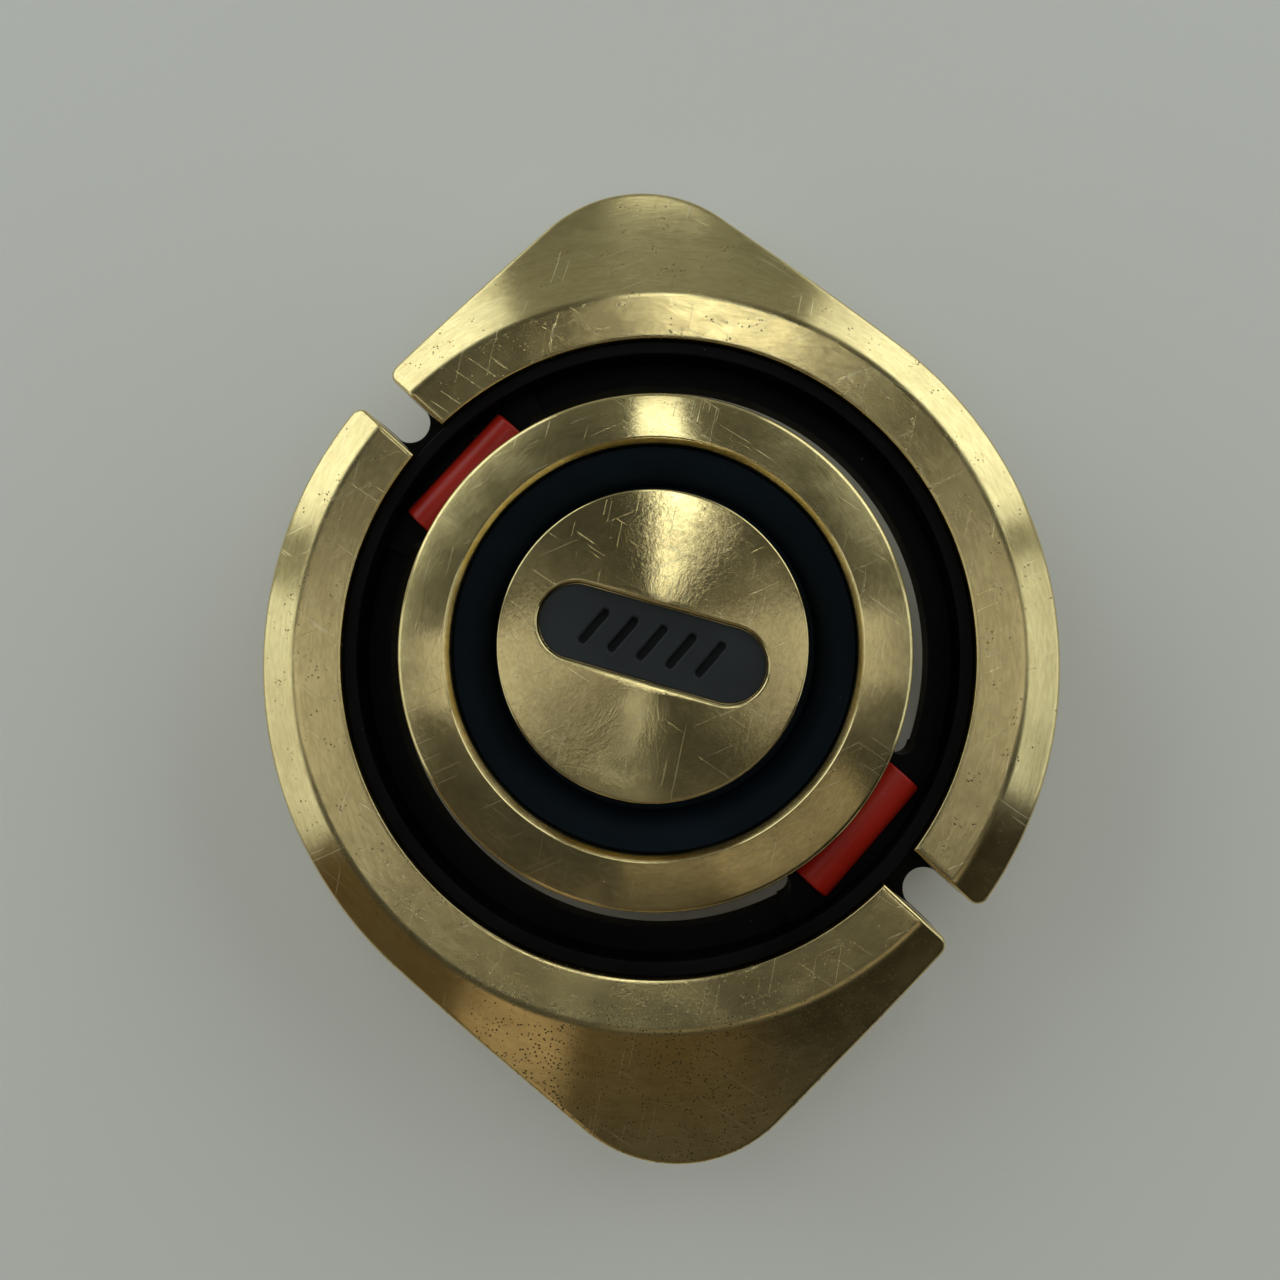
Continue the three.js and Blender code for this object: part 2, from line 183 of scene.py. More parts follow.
# lathe lines: short fine arcs round the spin axis, with a coarser ring pattern under them
def makeLatheLines():
    group, given, made = newGroup(
        "latheLines",
        [("Vector", vectorKind, None), ("Fine", floatKind, 6500.0), ("Coarse", floatKind, 1600.0)],
        [("Height", floatKind), ("Tone", floatKind)],
    )
    flat = addNode(group, "ShaderNodeVectorMath", operation="MULTIPLY")
    flat.inputs[1].default_value = (1, 1, 0)
    group.links.new(given.outputs["Vector"], flat.inputs[0])
    length = addNode(group, "ShaderNodeVectorMath", operation="LENGTH")
    group.links.new(flat.outputs[0], length.inputs[0])
    around = addNode(group, "ShaderNodeVectorMath", operation="NORMALIZE")
    group.links.new(flat.outputs[0], around.inputs[0])
    layers = []
    for size, turns in (("Fine", 26.0), ("Coarse", 8.0)):
        spread = addNode(group, "ShaderNodeVectorMath", operation="SCALE")
        spread.inputs["Scale"].default_value = turns
        group.links.new(around.outputs[0], spread.inputs[0])
        lift = addNode(group, "ShaderNodeCombineXYZ")
        rings = mathNode(group, "MULTIPLY", length.outputs["Value"], given.outputs[size])
        group.links.new(rings, lift.inputs["Z"])
        place = addNode(group, "ShaderNodeVectorMath", operation="ADD")
        group.links.new(spread.outputs[0], place.inputs[0])
        group.links.new(lift.outputs[0], place.inputs[1])
        layers.append(noiseNode(group, place.outputs[0], 1.0, 3.0, 0.6))
    fine = mathNode(group, "MULTIPLY", layers[0], 0.6)
    height = mathNode(group, "ADD", fine, mathNode(group, "MULTIPLY", layers[1], 0.4))
    group.links.new(height, made.inputs["Height"])
    group.links.new(mapRange(group, height, 0.36, 0.64), made.inputs["Tone"])
    return group


# use marks: soft handling stains, pin-prick pits in patches and short straight scratches
def makeUseMarks():
    group, given, made = newGroup(
        "useMarks",
        [
            ("Vector", vectorKind, None), ("Pit Scale", floatKind, 5200.0),
            ("Scratch Scale", floatKind, 240.0), ("Pit Side", floatKind, 0.0),
        ],
        [("Stain", floatKind), ("Pits", floatKind), ("Scratches", floatKind), ("Smear", floatKind)],
    )
    vector = given.outputs["Vector"]
    stain = mapRange(group, noiseNode(group, vector, 95.0, 5.0, 0.62), 0.42, 0.68)
    smear = mapRange(group, noiseNode(group, vector, 340.0, 4.0, 0.6), 0.35, 0.7)
    cells = addNode(group, "ShaderNodeTexVoronoi", feature="F1")
    group.links.new(vector, cells.inputs["Vector"])
    group.links.new(given.outputs["Pit Scale"], cells.inputs["Scale"])
    dots = mapRange(group, cells.outputs["Distance"], 0.32, 0.16)
    split = addNode(group, "ShaderNodeSeparateXYZ")
    group.links.new(vector, split.inputs[0])
    nearTip = mapRange(group, split.outputs["Y"], -0.0150, -0.0185, 0.0, 0.17)  # more pits on the -Y tip
    nearTip = mathNode(group, "MULTIPLY", nearTip, given.outputs["Pit Side"])
    cloud = mathNode(group, "ADD", noiseNode(group, vector, 900.0, 3.0, 0.7), nearTip)
    pits = mathNode(group, "MULTIPLY", dots, mapRange(group, cloud, 0.54, 0.68))
    scratches = None
    for turn in (0.35, 1.3, 2.5):  # three directions of straight scratches
        lie = addNode(group, "ShaderNodeMapping", vector_type="TEXTURE")
        lie.inputs["Rotation"].default_value = (0, 0, turn)
        lie.inputs["Scale"].default_value = (1, 0.028, 1)
        group.links.new(vector, lie.inputs["Vector"])
        thin = addNode(group, "ShaderNodeTexNoise")
        setInputs(thin, Detail=0.0)
        group.links.new(lie.outputs[0], thin.inputs["Vector"])
        group.links.new(given.outputs["Scratch Scale"], thin.inputs["Scale"])
        streak = mapRange(group, thin.outputs["Fac"], 0.775, 0.81)
        scratches = streak if scratches is None else mathNode(group, "MAXIMUM", scratches, streak)
    group.links.new(stain, made.inputs["Stain"])
    group.links.new(pits, made.inputs["Pits"])
    group.links.new(scratches, made.inputs["Scratches"])
    group.links.new(smear, made.inputs["Smear"])
    return group


# satin grain: the fine unevenness of a coated or moulded face, with faint dust
def makeSatinGrain():
    group, given, made = newGroup(
        "satinGrain",
        [("Vector", vectorKind, None), ("Scale", floatKind, 6000.0)],
        [("Height", floatKind), ("Dust", floatKind), ("Tone", floatKind)],
    )
    vector = given.outputs["Vector"]
    grain = addNode(group, "ShaderNodeTexNoise")
    setInputs(grain, Detail=3.0, Roughness=0.6)
    group.links.new(vector, grain.inputs["Vector"])
    group.links.new(given.outputs["Scale"], grain.inputs["Scale"])
    specks = addNode(group, "ShaderNodeTexVoronoi", feature="F1")
    setInputs(specks, Scale=1500.0)
    group.links.new(vector, specks.inputs["Vector"])
    dots = mapRange(group, specks.outputs["Distance"], 0.11, 0.05)
    patches = mapRange(group, noiseNode(group, vector, 300.0, 3.0, 0.65), 0.55, 0.7)
    group.links.new(grain.outputs["Fac"], made.inputs["Height"])
    group.links.new(mathNode(group, "MULTIPLY", dots, patches), made.inputs["Dust"])
    tone = mapRange(group, noiseNode(group, vector, 160.0, 4.0), 0.35, 0.65)
    group.links.new(tone, made.inputs["Tone"])
    return group


latheLines = makeLatheLines()
useMarks = makeUseMarks()
satinGrain = makeSatinGrain()


def useGroup(tree, group, vector, **values):
    node = addNode(tree, "ShaderNodeGroup", node_tree=group)
    tree.links.new(vector, node.inputs["Vector"])
    return setInputs(node, **values)


def newMaterial(name, **shaderValues):
    material = bpy.data.materials.new(name)
    material.use_nodes = True
    tree = material.node_tree
    tree.nodes.clear()
    shader = addNode(tree, "ShaderNodeBsdfPrincipled")
    output = addNode(tree, "ShaderNodeOutputMaterial")
    tree.links.new(shader.outputs[0], output.inputs["Surface"])
    setInputs(shader, **shaderValues)
    where = addNode(tree, "ShaderNodeTexCoord").outputs["Object"]
    return material, tree, shader, where


def addBump(tree, shader, height, strength, distance):
    bump = addNode(tree, "ShaderNodeBump")
    setInputs(bump, Strength=strength, Distance=distance)
    tree.links.new(height, bump.inputs["Height"])
    tree.links.new(bump.outputs["Normal"], shader.inputs["Normal"])


brassLook = {
    "clean": (0.86, 0.71, 0.35),
    "stained": (0.56, 0.42, 0.18),
    "pit": (0.13, 0.09, 0.035),
    "scratch": (0.95, 0.84, 0.55),
    "stainAmount": 0.3,
    "lineAmount": 0.42,
    "scratchAmount": 0.5,
    "smearRoughness": 0.06,
    "pitRoughness": 0.3,
    "cutDepth": 0.6,  # pits and scratches against the turned lines
    "bump": 0.4,
}


# Turned brass. The shine is drawn out along the radius, as the rings of a lathe do.
def makeBrass(name, roughness, anisotropy, lineDepth, pitAmount, pitSide, scratchScale):
    material, tree, shader, where = newMaterial(name, Metallic=1.0, Anisotropic=anisotropy)
    flat = addNode(tree, "ShaderNodeVectorMath", operation="MULTIPLY")
    flat.inputs[1].default_value = (1, 1, 0)
    tree.links.new(addNode(tree, "ShaderNodeNewGeometry").outputs["Position"], flat.inputs[0])
    radial = addNode(tree, "ShaderNodeVectorMath", operation="NORMALIZE")
    tree.links.new(flat.outputs[0], radial.inputs[0])
    tree.links.new(radial.outputs[0], shader.inputs["Tangent"])
    lines = useGroup(tree, latheLines, where)
    marks = useGroup(tree, useMarks, where, Scratch_Scale=scratchScale, Pit_Side=pitSide)
    look = brassLook
    stainMask = mathNode(tree, "MULTIPLY", marks.outputs["Stain"], look["stainAmount"])
    color = mixColor(tree, stainMask, look["clean"], look["stained"])
    lineMask = mathNode(tree, "MULTIPLY", lines.outputs["Tone"], look["lineAmount"])
    color = mixColor(tree, lineMask, color, look["stained"])
    pitMask = mathNode(tree, "MULTIPLY", marks.outputs["Pits"], pitAmount)
    color = mixColor(tree, pitMask, color, look["pit"])
    scratchMask = mathNode(tree, "MULTIPLY", marks.outputs["Scratches"], look["scratchAmount"])
    color = mixColor(tree, scratchMask, color, look["scratch"])
    tree.links.new(color, shader.inputs["Base Color"])
    smear = mathNode(tree, "MULTIPLY", marks.outputs["Smear"], look["smearRoughness"])
    rough = mathNode(tree, "ADD", smear, roughness)
    rough = mathNode(tree, "ADD", rough, mathNode(tree, "MULTIPLY", pitMask, look["pitRoughness"]))
    tree.links.new(rough, shader.inputs["Roughness"])
    cuts = mathNode(tree, "MULTIPLY", mathNode(tree, "ADD", pitMask, scratchMask), look["cutDepth"])
    height = mathNode(tree, "SUBTRACT", lines.outputs["Height"], cuts)
    addBump(tree, shader, height, look["bump"], lineDepth * mm)
    return material


dustColor = (0.22, 0.22, 0.21)
grainDepth = 0.007


def makeCoating(name, dark, light, roughness, scale, coat, shine):
    material, tree, shader, where = newMaterial(
        name, Metallic=0.0, Coat_Weight=coat, Coat_Roughness=0.2, Specular_IOR_Level=shine
    )
    grain = useGroup(tree, satinGrain, where, Scale=scale)
    color = mixColor(tree, grain.outputs["Tone"], dark, light)
    dust = mathNode(tree, "MULTIPLY", grain.outputs["Dust"], 0.35)
    color = mixColor(tree, dust, color, dustColor)
    tree.links.new(color, shader.inputs["Base Color"])
    rough = mathNode(tree, "ADD", mathNode(tree, "MULTIPLY", grain.outputs["Tone"], 0.1), roughness)
    tree.links.new(rough, shader.inputs["Roughness"])
    addBump(tree, shader, grain.outputs["Height"], 0.3, grainDepth * mm)
    return material


def makeSteel(name, color, roughness):
    material, tree, shader, where = newMaterial(name, Metallic=1.0)
    marks = useGroup(tree, useMarks, where)
    smearMask = mathNode(tree, "MULTIPLY", marks.outputs["Smear"], 0.3)
    tone = mixColor(tree, smearMask, color, (0.35, 0.34, 0.33))
    tree.links.new(tone, shader.inputs["Base Color"])
    rough = mathNode(tree, "ADD", mathNode(tree, "MULTIPLY", marks.outputs["Smear"], 0.15), roughness)
    tree.links.new(rough, shader.inputs["Roughness"])
    addBump(tree, shader, marks.outputs["Smear"], 0.15, 0.004 * mm)
    return material


# name: roughness, anisotropy, depth of the turned lines in mm, pits, more pits on one tip, scratch scale
brassPlan = {
    "wingBrass": (0.18, 0.8, 0.012, 1.0, 1.0, 240.0),
    "ringBrass": (0.15, 0.9, 0.010, 0.3, 0.0, 300.0),
    "buttonBrass": (0.15, 0.97, 0.011, 0.2, 0.0, 260.0),
}
# name: darker and lighter colour, roughness, grain scale, clear coat, shine
coatingPlan = {
    "blackCoat": ((0.002, 0.002, 0.0022), (0.0045, 0.0045, 0.005), 0.4, 7000.0, 0.0, 0.08),
    "dishCoat": ((0.0015, 0.005, 0.009), (0.003, 0.008, 0.014), 0.5, 6000.0, 0.0, 0.1),
    "inlayBlack": ((0.014, 0.017, 0.019), (0.025, 0.029, 0.032), 0.55, 9000.0, 0.0, 0.35),
    # painted shade: a darker black for the floors of the inlay's grooves, standing in for the shade that
    # falls in them
    "paintedGrooveShade": ((0.004, 0.004, 0.005), (0.009, 0.009, 0.010), 0.6, 9000.0, 0.0, 0.15),
    "rodRed": ((0.34, 0.012, 0.005), (0.44, 0.018, 0.008), 0.3, 3000.0, 0.1, 0.25),
}
steelPlan = {  # name: colour, roughness
    "groundSteel": ((0.55, 0.55, 0.56), 0.25),
    "ballSteel": ((0.72, 0.72, 0.73), 0.12),
    "cageBrass": ((0.62, 0.5, 0.26), 0.35),
}
finishes = {name: makeBrass(name, *values) for name, values in brassPlan.items()}
finishes.update({name: makeCoating(name, *values) for name, values in coatingPlan.items()})
finishes.update({name: makeSteel(name, *values) for name, values in steelPlan.items()})
print("materials made")


# mesh helpers, all in mm about the spin axis, with heights from the middle plane

def makeObject(name, points, faces, sharp=40):
    mesh = bpy.data.meshes.new(name)
    mesh.from_pydata([(x * mm, y * mm, (z + middle) * mm) for x, y, z in points], [], faces)
    build = bmesh.new()
    build.from_mesh(mesh)
    bmesh.ops.remove_doubles(build, verts=build.verts, dist=1e-7)
    bmesh.ops.dissolve_degenerate(build, edges=build.edges, dist=1e-8)
    bmesh.ops.recalc_face_normals(build, faces=build.faces)
    build.to_mesh(mesh)
    build.free()
    mesh.shade_smooth()
    mesh.set_sharp_from_angle(angle=math.radians(sharp))
    item = bpy.data.objects.new(name, mesh)
    bpy.context.scene.collection.objects.link(item)
    return item


def finishPiece(item, finish, body, slot, *nodes):
    item.data.materials.clear()
    item.data.materials.append(finishes[finish])
    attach(item, body)
    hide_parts(*nodes)
    return item


# bridges a stack of loops of equal length, with a flat cap or a ring join at its ends
def stackFaces(loopCount, size, closed):
    faces = []
    for row in range(loopCount if closed else loopCount - 1):
        a = row * size
        b = ((row + 1) % loopCount) * size
        for k in range(size):
            n = (k + 1) % size
            faces.append((a + k, a + n, b + n, b + k))
    if not closed:
        faces.append(tuple(reversed(range(size))))
        last = (loopCount - 1) * size
        faces.append(tuple(range(last, last + size)))
    return faces


def softCorners(points, closed=True, steps=5):
    made = []
    count = len(points)
    for i, (r, z, soft) in enumerate(points):
        end = not closed and i in (0, count - 1)
        if soft <= 0 or end:
            made.append((r, z))
            continue
        here = Vector((r, z))
        before = Vector(points[i - 1][:2]) - here
        after = Vector(points[(i + 1) % count][:2]) - here
        start = here + before.normalized() * min(soft, before.length * 0.45)
        stop = here + after.normalized() * min(soft, after.length * 0.45)
        for step in range(steps + 1):
            t = step / steps
            p = start * (1 - t) ** 2 + here * (2 * t * (1 - t)) + stop * t ** 2
            made.append((p.x, p.y))
    return made


def circleLoop(r, z, sides):
    turns = [tau * k / sides for k in range(sides)]
    return [(r * math.cos(a), r * math.sin(a), z) for a in turns]


def latheLoops(profile, sides):
    loops = []
    for r, z in profile:
        loops += circleLoop(r, z, sides)
    return loops


def makeLathe(name, profile, sides=256, closed=True, side=1, sharp=40):
    points = latheLoops([(r, z * side) for r, z in profile], sides)
    return makeObject(name, points, stackFaces(len(profile), sides, closed), sharp)


def combine(target, tools, operation, sharp=35):
    for tool in tools:
        modifier = target.modifiers.new(tool.name, "BOOLEAN")
        modifier.operation = operation
        modifier.solver = "EXACT"
        modifier.object = tool
    bpy.context.view_layer.update()
    made = bpy.data.meshes.new_from_object(target.evaluated_get(bpy.context.evaluated_depsgraph_get()))
    target.modifiers.clear()
    target.data = made
    for tool in tools:
        bpy.data.objects.remove(tool)
    tidy = bmesh.new()
    tidy.from_mesh(made)
    bmesh.ops.remove_doubles(tidy, verts=tidy.verts, dist=2e-6)
    bmesh.ops.dissolve_degenerate(tidy, edges=tidy.edges, dist=1e-6)
    tidy.to_mesh(made)
    tidy.free()
    made.shade_smooth()
    made.set_sharp_from_angle(angle=math.radians(sharp))
    return target


# a flat piece from an outline in plan, with small chamfers along both its edges
def makePlate(name, outline, low, high, inset=None, chamfer=0.0, sharp=30):
    if inset is None:
        points = [(x, y, z) for z in (low, high) for x, y in outline]
        return makeObject(name, points, stackFaces(2, len(outline), False), sharp)
    levels = ((inset, low), (outline, low + chamfer), (outline, high - chamfer), (inset, high))
    points = [(x, y, z) for loop, z in levels for x, y in loop]
    return makeObject(name, points, stackFaces(4, len(outline), False), sharp)


def arcPoints(x, y, r, start, stop, steps):  # angles in degrees, either way round
    made = []
    for k in range(steps + 1):
        a = math.radians(start + (stop - start) * k / steps)
        made.append((x + r * math.cos(a), y + r * math.sin(a)))
    return made


def turnedPlan(points, degrees):
    c = math.cos(math.radians(degrees))
    s = math.sin(math.radians(degrees))
    return [(x * c - y * s, x * s + y * c) for x, y in points]


# wings

wingLook = {
    "gap": 2.1,  # width of the gap between wings
    "gapAngle": 135,
    "tipRound": 7,
    "ridge": 18.1,
    "ridgeSoft": 0.12,
    "rise": 0.2,  # from the inner edge up to the ridge
    "scoopReach": 7.8,
    "scoopPower": 1.6,
    "tipHeight": 1.42,
    "edgeSoft": 0.2,
    "innerSoft": 0.09,
    "cornerRound": 0.6,
    "columns": 300,
}
screwLook = {
    "angles": (123, 45, -33),
    "setback": 0.15,
    "head": 2.6,
    "shank": 1.6,
    "seatDepth": 0.7,
    "clear": 0.1,
    "shankClear": 0.05,
    "slotWidth": 0.45,
    "slotDepth": 0.3,
}
plateHalf = wingSpan["low"] - middle
ridgeHigh = wingSpan["high"] - middle
innerEdge = ridgeHigh - wingLook["rise"]
wingInner = round(wingSpan["inner"], 1)
tipCentre = reach - wingLook["tipRound"]
flankTurn = math.acos((width - wingLook["tipRound"]) / tipCentre)
tipTurn = math.atan2(
    wingLook["tipRound"] * math.sin(flankTurn), tipCentre + wingLook["tipRound"] * math.cos(flankTurn)
)


def fromTip(angle):  # angle to the nearer tip, 0 to a quarter turn
    off = (angle - math.pi / 2) % math.pi
    return min(off, math.pi - off)


def outlineRadius(angle, inset=0.0):
    off = fromTip(angle)
    if off >= flankTurn:
        return width - inset
    if off >= tipTurn:
        return (width - inset) / math.cos(flankTurn - off)
    tip = wingLook["tipRound"] - inset
    return tipCentre * math.cos(off) + math.sqrt(tip ** 2 - (tipCentre * math.sin(off)) ** 2)


def outlineDistance(r, angle):
    off = fromTip(angle)
    if off >= flankTurn:
        return width - r
    if off >= tipTurn:
        return width - r * math.cos(flankTurn - off)
    return wingLook["tipRound"] - math.hypot(r * math.sin(off), r * math.cos(off) - tipCentre)


# how far round from the gap's middle line a wing starts at a radius, with its outer corner rounded
def endTurn(r):
    half = wingLook["gap"] / 2
    corner = wingLook["cornerRound"]
    centre = width - corner
    beta = math.asin((half + corner) / centre)
    meet = math.hypot(centre * math.cos(beta), half)
    if r <= meet:
        return math.asin(half / r)
    r = min(r, width)
    return beta - math.acos(min(1.0, (r * r + centre * centre - corner * corner) / (2 * r * centre)))


def endDistance(r, fromGap):  # from a point to the wing's end face
    half = wingLook["gap"] / 2
    corner = wingLook["cornerRound"]
    centre = width - corner
    beta = math.asin((half + corner) / centre)
    x = r * math.cos(fromGap)
    y = r * math.sin(fromGap)
    if x > centre * math.cos(beta) and y < half + corner:
        return corner - math.hypot(x - centre * math.cos(beta), y - centre * math.sin(beta))
    return y - half


def softMin(a, b, soft):
    h = max(soft - abs(a - b), 0.0) / soft
    return min(a, b) - h * h * soft / 4


def wingHeight(r):
    ridge = wingLook["ridge"]
    peak = ridgeHigh + wingLook["ridgeSoft"] * 0.25
    inner = peak + (peak - innerEdge) * (r - ridge) / (ridge - wingInner)
    u = min(max((r - ridge) / wingLook["scoopReach"], -0.2), 1.0)
    outer = wingLook["tipHeight"] + (peak - wingLook["tipHeight"]) * (1 - u) ** wingLook["scoopPower"]
    return softMin(inner, outer, wingLook["ridgeSoft"])


def edgeDrop(distance, soft):
    if distance >= soft:
        return 0.0
    left = soft - max(distance, 0.0)
    return soft - math.sqrt(max(soft * soft - left * left, 0.0))


def wingRows():  # radii that crowd at the inner edge and the ridge, then insets from the outline
    inner = [wingInner + v for v in (0, 0.006, 0.02, 0.045, 0.09, 0.2)]
    r = inner[-1] + 0.2
    ridge = wingLook["ridge"]
    while r < ridge - 0.35:
        inner.append(r)
        r += 0.2
    r = ridge - 0.3
    while r < ridge + 0.3:
        inner.append(r)
        r += 0.03
    edge = (0.32, 0.2, 0.155, 0.115, 0.08, 0.05, 0.025, 0.01, 0.0)
    return inner, edge


def wingMesh(side, turn):
    inner, edge = wingRows()
    start = math.radians(wingLook["gapAngle"] - 180)
    stop = math.radians(wingLook["gapAngle"])
    ends = [0, 0.0002, 0.0006, 0.0012, 0.002, 0.0032, 0.005]
    columns = wingLook["columns"]
    along = ends + [ends[-1] + (1 - 2 * ends[-1]) * k / columns for k in range(1, columns)]
    along += [1 - v for v in reversed(ends)]
    middleRows = 22
    rows = [("fixed", r) for r in inner]
    rows += [("share", k / middleRows) for k in range(1, middleRows)]
    rows += [("inset", d) for d in edge]
    points = []
    for kind, value in rows:
        for t in along:
            angle = start + math.pi * t
            r = value if kind == "fixed" else wingLook["ridge"]
            for _ in range(6):  # the radius and the angle depend on each other, so they settle in steps
                if kind == "share":
                    r = inner[-1] + value * (outlineRadius(angle) - edge[0] - inner[-1])
                elif kind == "inset":
                    r = outlineRadius(angle) - value
                off = endTurn(r)
                angle = start + off + (math.pi - 2 * off) * t
            gapSide = min(angle - start, stop - angle)
            outer = min(outlineDistance(r, angle), endDistance(r, gapSide))
            outerDrop = edgeDrop(outer, wingLook["edgeSoft"])
            innerDrop = edgeDrop(r - wingInner, wingLook["innerSoft"])
            z = wingHeight(r) - max(outerDrop, innerDrop)
            points.append((r * math.cos(angle + turn), r * math.sin(angle + turn), z * side))
    cols = len(along)
    count = len(rows)
    faces = []
    for j in range(count - 1):
        for i in range(cols - 1):
            a = j * cols + i
            faces.append((a, a + 1, a + cols + 1, a + cols))
    rim = list(range(cols))
    rim += [j * cols + cols - 1 for j in range(1, count)]
    rim += [(count - 1) * cols + i for i in range(cols - 2, -1, -1)]
    rim += [j * cols for j in range(count - 2, 0, -1)]
    low = len(points)
    for step in (0.12, 0.0):
        for index in rim:
            x, y, _ = points[index]
            points.append((x, y, (plateHalf + step) * side))
    size = len(rim)
    for k in range(size):
        n = (k + 1) % size
        faces.append((rim[k], rim[n], low + n, low + k))
        faces.append((low + k, low + n, low + size + n, low + size + k))
    near = low + size  # the seat on the frame: a strip from the inner edge to the outer edge
    far = near + size - count + 1
    for i in range(cols - 1):
        faces.append((near + i, near + i + 1, far - i - 1, far - i))
    return points, faces


def screwPlaces():
    radius = wingLook["ridge"] - screwLook["setback"]
    places = []
    for turn in (0, 180):
        for angle in screwLook["angles"]:
            a = math.radians(angle + turn)
            places.append((radius * math.cos(a), radius * math.sin(a)))
    return places


def drillWing(wing, turn):  # stepped holes for the screws, seen from the rear
    look = screwLook
    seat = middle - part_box("wing_screw_1")[0].z / mm - look["seatDepth"]
    cutters = []
    for x, y in screwPlaces():
        fromGap = math.degrees(math.atan2(y, x) - turn) - wingLook["gapAngle"]
        if fromGap % 360 <= 180:
            continue  # this screw is in the other wing
        head = arcPoints(x, y, look["head"] / 2 + look["clear"], 0, 352, 44)
        shank = arcPoints(x, y, look["shank"] / 2 + look["shankClear"], 0, 345, 23)
        cutters.append(makePlate("headCutter", head, -5, -seat))
        cutters.append(makePlate("shankCutter", shank, -5, 0))
    combine(wing, cutters, "DIFFERENCE", 30)


def makeWings():
    for letter, turn in (("a", 0.0), ("b", math.pi)):
        for sideName, side in (("front", 1), ("rear", -1)):
            points, faces = wingMesh(side, turn)
            wing = makeObject(f"{sideName}Wing{letter.upper()}", points, faces, 30)
            if side < 0:
                drillWing(wing, turn)
            finishPiece(wing, "wingBrass", "rotor", "brass", f"{sideName}_wing_{letter}")


def makeScrews():
    look = screwLook
    for number in range(1, 7):
        node = f"wing_screw_{number}"
        low, high = [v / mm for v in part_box(node)]
        bottom = low.z - middle
        top = high.z - middle
        head = look["head"] / 2
        shank = look["shank"] / 2
        under = bottom + look["seatDepth"]
        blank = makeLathe(f"wingScrew{number}", softCorners([
            (0.0005, bottom, 0), (head, bottom, 0.12), (head, under, 0), (shank, under, 0),
            (shank, top, 0.1), (0.0005, top, 0),
        ], closed=False), 72, False)
        half = look["slotWidth"] / 2
        slot = [(-head - 0.1, -half), (head + 0.1, -half), (head + 0.1, half), (-head - 0.1, half)]
        cutter = makePlate("slotCutter", slot, bottom - 1, bottom + look["slotDepth"])
        combine(blank, [cutter], "DIFFERENCE")
        centre = (low + high) / 2 * mm
        blank.data.transform(Matrix.Translation((centre.x, centre.y, 0)))
        finishPiece(blank, "groundSteel", "rotor", "steel", node)


makeWings()
makeScrews()
print("wings made")


# the black frame: a plate between the wings, a rim, two spokes and the hub that holds the bearing

rodLook = {"length": 7.0, "edge": 0.16}
frameLook = {
    "plateHalf": 0.8,
    "plateInset": 0.6,
    "rimInner": 15.05,
    "rimOuter": 15.7,
    "rimDrop": 0.3,  # rim top below the wings' inner edge
    "slotOuter": 13.9,
    "slotInner": 10.3,
    "slotCorner": 0.7,
    "spokeHalfAngle": 18,
    "spokeHalf": 1.3,
    "flangeRadius": 11.4,
    "flangeThickness": 0.8,
    "notchSetback": 1.0,
    "pocketClear": 0.1,
    "edge": 0.08,
}


def lemonOutline(inset, steps=360):
    made = []
    for k in range(steps):
        a = tau * k / steps
        r = outlineRadius(a, inset)
        made.append((r * math.cos(a), r * math.sin(a)))
    return made


def slotOutline(start, stop):  # an arc slot between two angles in degrees, its outer corners round
    look = frameLook
    corner = look["slotCorner"]
    centre = look["slotOuter"] - corner
    lean = math.degrees(math.asin(corner / centre))
    first = math.radians(start + lean)
    last = math.radians(stop - lean)
    x, y = centre * math.cos(first), centre * math.sin(first)
    made = arcPoints(x, y, corner, start - 90, start + lean, 12)
    made += arcPoints(0, 0, look["slotOuter"], start + lean, stop - lean, 120)[1:-1]
    x, y = centre * math.cos(last), centre * math.sin(last)
    made += arcPoints(x, y, corner, stop - lean, stop + 90, 12)
    made += arcPoints(0, 0, look["slotInner"], stop, start, 96)
    return made


def notchOutline():  # the U notch that carries the wings' gap into the frame, along +X
    half = wingLook["gap"] / 2
    inner = wingInner + frameLook["notchSetback"]
    made = arcPoints(inner + half, 0, half, 90, 270, 40)
    return made + [(reach + 2, -half), (reach + 2, half)]


